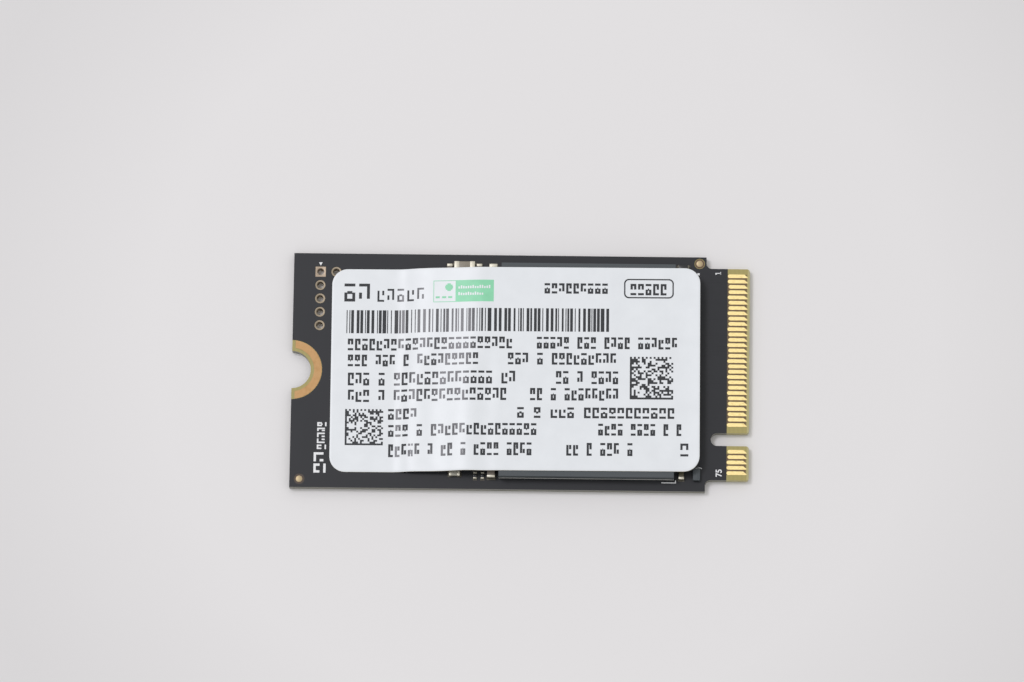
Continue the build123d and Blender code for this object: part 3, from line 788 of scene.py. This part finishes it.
shape = bmesh.new()
bmesh.ops.create_grid(shape, x_segments=round(2 * FILM_HALF.x / FILM_CELL), size=0.5,
                      y_segments=round(2 * FILM_HALF.y / FILM_CELL))
for corner in shape.verts:
    x, y = rounded_corner(corner.co.x * 2 * FILM_HALF.x, corner.co.y * 2 * FILM_HALF.y)
    corner.co.x, corner.co.y = FILM_MIDDLE.x + x, FILM_MIDDLE.y + y
    corner.co.z = film_top(corner.co.x, corner.co.y)
rim = open_edges(shape)
thicken(shape, -FILM_THICKNESS)
for face in shape.faces:
    face.material_index = 1 if abs(face.normal.z) < 0.5 else 0
soften(shape, [edge for edge in rim if edge.is_valid], FILM_RIM)
label_piece("white_label", shape, [FILM, FILM_EDGE], "label_film")

# %% [markdown]
# ## Print on the label
# The print is generic: marks for words, a bar code and two square codes from a seeded draw,
# a box and a green field. Each stroke is a very thin closed plate that follows the film, so
# it stays sharp from any distance. A stand-in for a letter takes some of the seven strokes
# that a counter uses for its digits, in sets that no digit or letter has, so a line has the
# grey and the rhythm of text but reads as nothing.

# %% Print helpers
PRINT_PROUD, PRINT_SUNK = 0.006 * MM, 0.012 * MM
CELL_LENGTH, CELL_HEIGHT = 0.5 * MM, 2.0 * MM
LETTER_GAP, TEXT_STROKE = 0.16, 0.205
STROKE_SETS = ("adfb", "agced", "feca", "febda", "cbae", "fbgda", "ecgad", "febd")
draw = random.Random(42)


def film_mark(shape, x0, x1, y0, y1, proud=PRINT_PROUD, surface=film_top):
    """Thin closed plate over a rectangle of the film, in mm, that follows its surface."""
    size = Vector(((x1 - x0) * MM, (y1 - y0) * MM))
    middle = Vector(((x0 + x1) / 2 * MM, (y0 + y1) / 2 * MM, 0))
    mark = bmesh.new()
    bmesh.ops.create_grid(mark, x_segments=math.ceil(size.x / CELL_LENGTH), size=0.5,
                          y_segments=math.ceil(size.y / CELL_HEIGHT),
                          matrix=Matrix.Translation(middle) @ Matrix.Diagonal((*size, 1, 1)))
    lower = set(thicken(mark, 0))
    for corner in mark.verts:
        lift = -PRINT_SUNK if corner in lower else proud
        corner.co.z = surface(corner.co.x, corner.co.y) + lift
    join_into(shape, mark)


def letter_stand_in(shape, x0, x1, y0, y1, stroke=TEXT_STROKE, surface=film_top):
    """Some of a counter's seven strokes: a top, b and c right, d foot, e and f left, g middle."""
    middle = (y0 + y1) / 2
    strokes = {
        "a": (x0, x1, y1 - stroke, y1), "d": (x0, x1, y0, y0 + stroke),
        "b": (x1 - stroke, x1, middle, y1 - stroke), "c": (x1 - stroke, x1, y0 + stroke, middle),
        "e": (x0, x0 + stroke, y0 + stroke, middle), "f": (x0, x0 + stroke, middle, y1 - stroke),
        "g": (x0 + stroke, x1 - stroke, middle - stroke / 2, middle + stroke / 2),
    }
    for stroke_name in draw.choice(STROKE_SETS):
        film_mark(shape, *strokes[stroke_name], surface=surface)


def text_line(shape, x0, x1, y0, y1, words):
    """Words of a line, spread over its length, given by how many letters each has."""
    pitch = (x1 - x0 + LETTER_GAP) / (sum(words) + len(words) - 1)
    x = x0
    for word in words:
        for letter in range(word):
            letter_stand_in(shape, x, x + pitch - LETTER_GAP, y0, y1)
            x += pitch
        x += pitch

# %% Lines of the label
# Each row: foot and head in mm, then for each line its two ends and the letters of its words.
ROWS = (
    (7.09, 8.06, (2.16, 7.96, (9,))), (6.98, 8.05, (10.05, 13.35, (5,))),
    (1.9, 3.0, (-15.89, -0.78, (23,)), (1.5, 14.34, (5, 3, 4, 6))),
    (0.4, 1.5, (-15.86, -3.87, (3, 3, 1, 9)), (-1.14, 8.76, (3, 1, 9))),
    (-1.4, -0.2, (-15.83, -0.46, (3, 1, 13, 2)), (3.28, 8.97, (2, 1, 4))),
    (-2.95, -1.8, (-15.8, -1.26, (3, 1, 15)), (0.92, 8.98, (2, 1, 8))),
    (-4.6, -3.6, (-12.09, -9.48, (4,)), (-0.24, 14.12, (1, 1, 3, 11))),
    (-6.2, -5.1, (-12.06, 1.53, (3, 1, 15)), (7.18, 14.77, (4, 4, 1, 1))),
    (-8.1, -6.9, (-12.03, 1.1, (5, 1, 2, 1, 4, 4)), (4.28, 10.32, (2, 1, 3, 1)), (14.69, 15.42, (1,))),
)
printed = bmesh.new()
for foot, head, *row_lines in ROWS:
    for left, right, words in row_lines:
        text_line(printed, left, right, foot, head, words)

# %% Heading, outlined box, bar code and square codes
HEAVY_STROKE, HEAVY_WIDTH, HEAVY_PITCH = 0.27, 1.0, 1.35
LIGHT_STROKE, LIGHT_START, LIGHT_GAP, LIGHT_HEIGHT = 0.18, 3.05, 0.3, 0.72
CORNER_MARKS, BAR_MODULE, DARK_SHARE = 7, 0.085, 0.47


def heading(shape, x0, x1, y0, y1):
    """Two large heavy marks and five lighter ones, where a heading stands."""
    for index in range(2):
        left = x0 + index * HEAVY_PITCH
        letter_stand_in(shape, left, left + HEAVY_WIDTH, y0, y1, HEAVY_STROKE)
    start, head = x0 + LIGHT_START, y0 + LIGHT_HEIGHT * (y1 - y0)
    step = (x1 - start + LIGHT_GAP) / 5
    for index in range(5):
        left = start + index * step
        letter_stand_in(shape, left, left + step - LIGHT_GAP, y0, head, LIGHT_STROKE)


def outlined_box(shape, x0, x1, y0, y1, line, radius):
    """Frame of four bars, with each corner a short curved run of small marks."""
    for bar in ((x0 + radius, x1 - radius, y1 - line, y1), (x0 + radius, x1 - radius, y0, y0 + line),
                (x0, x0 + line, y0 + radius, y1 - radius), (x1 - line, x1, y0 + radius, y1 - radius)):
        film_mark(shape, *bar)
    for end_x, end_y in ((x0, y0), (x0, y1), (x1, y0), (x1, y1)):
        side_x, side_y = (1 if end_x == x1 else -1), (1 if end_y == y1 else -1)
        for index in range(CORNER_MARKS):
            turn = math.pi / 2 * (index + 0.5) / CORNER_MARKS
            x = end_x - side_x * radius + side_x * (radius - line / 2) * math.cos(turn)
            y = end_y - side_y * radius + side_y * (radius - line / 2) * math.sin(turn)
            film_mark(shape, x - line / 2, x + line / 2, y - line / 2, y + line / 2)


def bar_code(shape, x0, x1, y0, y1):
    """Bars of one to four modules, and gaps of one to three."""
    x = x0
    while x < x1 - BAR_MODULE:
        width = BAR_MODULE * draw.choice((1, 1, 2, 2, 3, 3, 4))
        film_mark(shape, x, min(x + width, x1), y0, y1)
        x += width + BAR_MODULE * draw.choice((1, 1, 2, 2, 3, 3))


def square_code(shape, x0, x1, y0, y1, modules):
    """Square of modules with two solid sides and a random middle, drawn as runs."""
    step_x, step_y = (x1 - x0) / modules, (y1 - y0) / modules
    for row in range(modules):
        dark = [column == 0 or row == 0 or draw.random() < DARK_SHARE for column in range(modules)]
        if row == modules - 1:
            dark = [column % 2 == 0 for column in range(modules)]
        for start in range(modules):
            if dark[start] and not (start and dark[start - 1]):
                end = [*dark, False].index(False, start)
                film_mark(shape, x0 + start * step_x, x0 + end * step_x,
                          y0 + row * step_y, y0 + (row + 1) * step_y)


heading(printed, -16.28, -8.94, 6.5, 8.2)
outlined_box(printed, 9.46, 14.02, 6.69, 8.52, 0.12, 0.45)
bar_code(printed, -16.04, 8.27, 3.51, 5.69)
square_code(printed, 10.04, 14.01, -2.8, 1.19, 22)
square_code(printed, -16.03, -12.53, -7.0, -3.62, 20)
label_piece("label_print", printed, [PRINT])

# %% Green field
# A white third with a green outline, a round mark and three dashes, then a solid green part
# with two rows of small white dashes.
FIELD_LEFT, FIELD_SPLIT, FIELD_RIGHT, FIELD_FOOT, FIELD_HEAD = -8.06, -6.02, -2.5, 6.31, 8.35
FIELD_LINE = 0.06
ROUND_MIDDLE, ROUND_FOOT, ROUND_STEP = -6.62, 7.35, 0.12
ROUND_HALVES = (0.16, 0.3, 0.36, 0.36, 0.3, 0.16)
GREEN_DASHES = (-7.85, -7.25, -6.7)
WHITE_ROWS = ((-5.76, -2.75, 7.55, 7.85), (-5.76, -3.4, 6.92, 7.22))
WHITE_DASH, WHITE_PITCH = 0.14, 0.215
green_marks = [
    (FIELD_SPLIT, FIELD_RIGHT, FIELD_FOOT, FIELD_HEAD),
    (FIELD_LEFT, FIELD_SPLIT, FIELD_HEAD - FIELD_LINE, FIELD_HEAD),
    (FIELD_LEFT, FIELD_SPLIT, FIELD_FOOT, FIELD_FOOT + FIELD_LINE),
    (FIELD_LEFT, FIELD_LEFT + FIELD_LINE, FIELD_FOOT + FIELD_LINE, FIELD_HEAD - FIELD_LINE),
]
for row, half in enumerate(ROUND_HALVES):
    foot = ROUND_FOOT + row * ROUND_STEP
    green_marks.append((ROUND_MIDDLE - half, ROUND_MIDDLE + half, foot, foot + ROUND_STEP))
green_marks += [(left, left + 0.38, 6.68, 6.86) for left in GREEN_DASHES]
field = bmesh.new()
for mark in green_marks:
    film_mark(field, *mark)
label_piece("label_green_field", field, [GREEN_FIELD])

field_marks = bmesh.new()
for x0, x1, y0, y1 in WHITE_ROWS:
    for index in range(round((x1 - x0) / WHITE_PITCH)):
        left = x0 + index * WHITE_PITCH
        head = y1 - draw.choice((0, 0.06, 0.1))
        film_mark(field_marks, left, left + WHITE_DASH, y0, head, 2 * PRINT_PROUD)
label_piece("label_field_marks", field_marks, [FILM])

# %% [markdown]
# ## Legend on the board
# White marks on the mask: a small triangle at the first pin, a bracket at the package's
# corner, the plain contact numbers 1 and 75, and stand-ins where a name would be. A text
# object becomes a mesh before it is placed, as every finished piece must sit at the origin.

# %% Board legend
LEGEND_THICKNESS = 0.015 * MM
DIGIT_WEIGHT, DIGIT_RUN, DIGIT_HEIGHT = 0.02, 0.69 * MM, 0.57 * MM
DIGITS_MIDDLE = (18.265 * MM, -9.265 * MM, BOARD_TOP)
TRIANGLE_MIDDLE, TRIANGLE_RADIUS = (-18.54 * MM, 10.04 * MM, BOARD_TOP), 0.2 * MM
READ_UPWARD = Matrix.Rotation(math.pi / 2, 4, "Z")


def flat_board(x, y):
    """Height of the mask, which is the same everywhere."""
    return BOARD_TOP


legend = bmesh.new()
curve = bpy.data.curves.new("digits", "FONT")
curve.body = "75"
curve.offset = DIGIT_WEIGHT
holder = put("digits", curve)
bpy.context.view_layer.update()
mesh = bpy.data.meshes.new_from_object(holder)
bpy.data.objects.remove(holder)
shape = bmesh.new()
shape.from_mesh(mesh)
bpy.data.meshes.remove(mesh)
bmesh.ops.remove_doubles(shape, verts=shape.verts[:], dist=0.0001)
low, high = (Vector(end(corner.co[axis] for corner in shape.verts) for axis in (0, 1))
             for end in (min, max))
thicken(shape, 1)
scale = (DIGIT_RUN / (high.x - low.x), DIGIT_HEIGHT / (high.y - low.y), LEGEND_THICKNESS, 1)
place = Matrix.Translation(DIGITS_MIDDLE) @ READ_UPWARD
centred = Matrix.Diagonal(scale) @ Matrix.Translation((*(low + high) / -2, 0))
join_into(legend, shape, place @ centred)

# %% Bars, arc and triangle of the legend
bars = [
    (17.81, 18.34, 9.47, 9.54), (18.27, 18.34, 9.38, 9.63), (17.83, 17.93, 9.37, 9.48),      # the 1
    (13.03, 14.36, -10.27, -10.19), (14.28, 14.36, -10.19, -10.0), (16.16, 16.38, 9.3, 9.5),
]
ARC_X, ARC_Y, ARC_WIDTH, ARC_HEIGHT, ARC_STEPS = 16.42, -8.98, 0.32, 0.2, 10
for index in range(ARC_STEPS):
    turn = math.radians(150 - 110 * index / (ARC_STEPS - 1))
    x, y = ARC_X + ARC_WIDTH * math.cos(turn), ARC_Y + ARC_HEIGHT * math.sin(turn)
    bars.append((x - 0.05, x + 0.05, y - 0.04, y + 0.04))
for bar in bars:
    film_mark(legend, *bar, LEGEND_THICKNESS, flat_board)
place = Matrix.Translation(TRIANGLE_MIDDLE) @ Matrix.Rotation(math.pi, 4, "Z")
bmesh.ops.create_cone(legend, cap_ends=True, segments=3, radius1=TRIANGLE_RADIUS,
                      radius2=TRIANGLE_RADIUS, depth=2 * LEGEND_THICKNESS, matrix=place)

# %% Marks in the name's place
NAME_FOOT = (-17.7, -9.64)
NAME_MARKS = ((0.0, 0.85, 1.12, 0.22), (1.05, 1.9, 1.12, 0.22), (2.2, 2.62, 0.85, 0.14),
              (2.76, 3.18, 0.85, 0.14), (3.32, 3.74, 0.85, 0.14), (3.88, 4.2, 0.85, 0.14),
              (4.34, 4.72, 0.85, 0.14))
name_marks = bmesh.new()
for start, end, head, stroke in NAME_MARKS:
    letter_stand_in(name_marks, start, end, 0, head, stroke, flat_board)
join_into(legend, name_marks, Matrix.Translation((NAME_FOOT[0] * MM, NAME_FOOT[1] * MM, 0)) @ READ_UPWARD)
write_piece("board_legend", legend, [LEGEND], "solder_mask")

# %% [markdown]
# ## Floor, light and camera
# The card lies on a pale surface whose colour is painted a little darker towards the picture's
# corners, a painted fall-off of the light. One large lamp stands to the left and behind, high
# enough that only the film's ramp throws it back at the camera, which fades the print there.
# The rest is the whole sky, brighter above than at the sides and brighter behind the card
# than before it, and the gold reflects it too. Below the floor the sky is as bright as above
# it, so that the underside can be seen.

# %% Floor
FLOOR_HALF = 1.5
# Painted light: the floor's colour is lightest round this point and darker away from it, a painted fall-off
# of the light towards the corners.
PAINTED_LIGHT_MIDDLE = (2 * MM, 4 * MM, 0)
PAINTED_FALL_OFF_START, PAINTED_FALL_OFF_END = 36 * MM, 56 * MM
floor_paper, tree, shader, place = start_material("pale_paper", Roughness=0.9, IOR=1.4)
away = add(tree, "VectorMath", {0: place, 1: PAINTED_LIGHT_MIDDLE}, operation="DISTANCE")
painted_light_fall_off = add(tree, "MapRange", {0: away, 1: PAINTED_FALL_OFF_START, 2: PAINTED_FALL_OFF_END})
tone = add(tree, "Mix", {0: painted_light_fall_off, 6: "#dedddd", 7: "#d4d3d3"}, data_type="RGBA")
fill(shader, {"Base Color": tone})
shape = bmesh.new()
bmesh.ops.create_grid(shape, x_segments=1, y_segments=1, size=FLOOR_HALF)
floor = put("floor", mesh_of("floor", shape))
floor.data.materials.append(floor_paper)

# %% Sky
SKY_AT_HORIZON, SKY_RISE, SKY_BEHIND = 0.45, 0.53, 0.15
world = bpy.data.worlds.new("studio")
bpy.context.scene.world = world
world.use_nodes = True
sky = world.node_tree
sky.nodes.clear()
direction = add(sky, "TexCoord").outputs["Generated"]
towards = add(sky, "SeparateXYZ", {0: direction})
steepness = add(sky, "Math", {0: towards.outputs["Z"]}, operation="ABSOLUTE")
strength = add(sky, "Math", {0: steepness, 1: SKY_RISE, 2: SKY_AT_HORIZON}, operation="MULTIPLY_ADD")
strength = add(sky, "Math", {0: towards.outputs["Y"], 1: SKY_BEHIND, 2: strength}, operation="MULTIPLY_ADD")
is_camera = add(sky, "LightPath").outputs["Is Camera Ray"]
shown = add(sky, "Mix", {0: is_camera, 6: "#fbfaf9", 7: "#e1e0df"}, data_type="RGBA")
level = add(sky, "Mix", {0: is_camera, 2: strength, 3: 1.0})
back = add(sky, "Background", {"Color": shown, "Strength": level})
add(sky, "OutputWorld", {"Surface": back})

# %% Lamp
LAMP_TOWARDS = Vector((-0.40, 0.22, 0.89)).normalized()
LAMP_DISTANCE, LAMP_SIZE, LAMP_WATTS = 1.0, 0.29, 3.1
softbox = bpy.data.lights.new("softbox", "AREA")
softbox.shape = "DISK"
softbox.size = LAMP_SIZE
softbox.energy = LAMP_WATTS
softbox.color = linear("#f9f7ff")[:3]
lamp = put("softbox", softbox)
lamp.location = LAMP_TOWARDS * LAMP_DISTANCE
lamp.rotation_euler = LAMP_TOWARDS.to_track_quat("Z", "Y").to_euler()

# %% Camera
# The picture was taken from high up with a long lens: about 77 degrees above the card and
# 0.58 m away. The three turns and the three shifts were fitted to the card's own outline.
TURN_X, TURN_Y, TURN_Z = -0.2232925, -0.0170460, -0.0149105
VIEW_SHIFT = Vector((0.783794, -3.0203, -576.552)) * MM
PICTURE_WIDTH, FOCAL_PIXELS, SENSOR = 1024, 6273.05, 36.0
to_view = Matrix.Rotation(TURN_Z, 3, "Z") @ Matrix.Rotation(TURN_X, 3, "X") @ Matrix.Rotation(TURN_Y, 3, "Y")
from_view = to_view.transposed()
lens = bpy.data.cameras.new("camera")
lens.sensor_width = SENSOR
lens.lens = FOCAL_PIXELS / PICTURE_WIDTH * SENSOR
lens.clip_end = 10
camera = put("camera", lens)
camera.matrix_world = Matrix.Translation(-(from_view @ VIEW_SHIFT)) @ from_view.to_4x4()
bpy.context.scene.camera = camera
bpy.context.scene.view_settings.view_transform = "Standard"
place = [round(value, 3) for value in camera.matrix_world.translation]
print("lens", round(lens.lens, 1), "mm, camera at", place)
